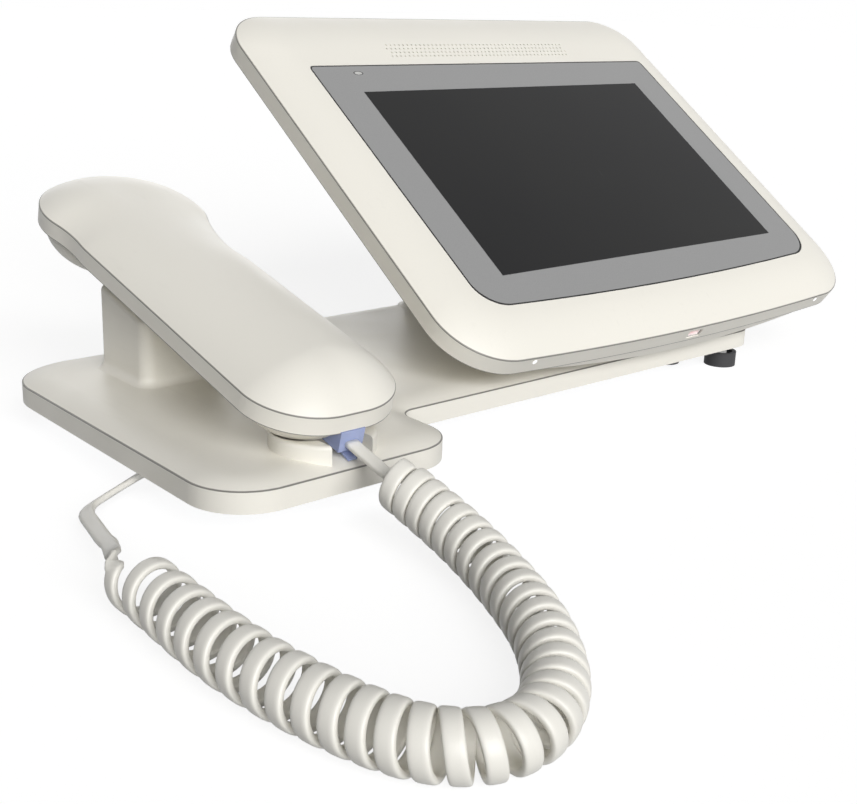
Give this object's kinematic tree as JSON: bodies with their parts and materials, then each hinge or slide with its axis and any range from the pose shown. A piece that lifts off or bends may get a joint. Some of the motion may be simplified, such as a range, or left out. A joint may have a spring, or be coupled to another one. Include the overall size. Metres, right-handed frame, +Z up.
{
  "type": "nurse call station",
  "caption": "Desk nurse call station: tilted touch display on a pedestal, low L-shaped base on rubber feet, and a corded handset resting on a post and a front cradle.",
  "frame": {"origin": "on the desk under the middle of the station's outline, at the undersides of the feet", "axes": "+X to the user's right, +Y to the back, +Z up; the user sits on the -Y side"},
  "size_m": [0.5201, 0.4158, 0.1848],
  "materials": {
    "shell_plastic": "satin",
    "handset_plastic": "satin",
    "cord_jacket": "satin",
    "clear_plastic": "clear",
    "contact_brass": "bright",
    "screen_glass": "gloss",
    "dark_lens": "gloss",
    "lamp_plastic": "gloss",
    "port_plastic": "satin",
    "foot_rubber": "matt",
    "foot_post_plastic": "satin",
    "zinc_steel": "satin",
    "ballast_iron": "rough",
    "board_laminate": "satin",
    "panel_plastic": "satin",
    "driver_plastic": "satin"
  },
  "bodies": {
    "station": {"base_ballast": "ballast_iron", "base_cover": "shell_plastic", "base_plate": "zinc_steel", "base_screws": "zinc_steel", "bracket_screws": "zinc_steel", "cord_coil": "cord_jacket", "cord_socket": "port_plastic", "cord_tail": "cord_jacket", "cover_glass": "screen_glass", "display_bezel": "shell_plastic", "display_bracket": "zinc_steel", "display_rear_shell": "shell_plastic", "foot_cups": "foot_rubber", "foot_posts": "foot_post_plastic", "foot_screws": "zinc_steel", "hook_bracket": "zinc_steel", "hook_switch": "port_plastic", "lcd_panel": "panel_plastic", "main_board": "board_laminate", "network_jack": "port_plastic", "panel_frame": "zinc_steel", "sensor_window": "dark_lens", "service_port": "port_plastic", "speaker": "driver_plastic", "status_lamps": "lamp_plastic", "tail_plug": "clear_plastic"},
    "handset": {"handset_back_shell": "handset_plastic", "handset_face_shell": "handset_plastic", "earpiece_capsule": "driver_plastic", "mic_capsule": "driver_plastic", "handset_weight": "zinc_steel", "handset_jack": "port_plastic", "plug_body": "clear_plastic", "plug_contacts": "contact_brass", "cord_lead": "cord_jacket"},
    "plunger": {"hook_plunger": "foot_post_plastic"},
    "latch": {"plug_latch": "clear_plastic"}
  },
  "joints": [
    {"name": "handset_lift", "type": "slide", "parent": "station", "child": "handset", "axis": [0, 0, 1], "range_m": [0, 0.06]},
    {"name": "hook_plunger_travel", "type": "slide", "parent": "station", "child": "plunger", "axis": [0, 0, 1], "range_m": [0, 0.003]},
    {"name": "plug_latch_flex", "type": "hinge", "parent": "handset", "child": "latch", "pos_m": [-0.16955, -0.10615, 0.02948], "axis": [-1, 0, 0], "range_deg": [0, 4], "stiffness_Nm_per_rad": 0.15}
  ],
  "couplings": [
    {"joint": "hook_plunger_travel", "follows": "handset_lift", "ratio": 0.05}
  ]
}
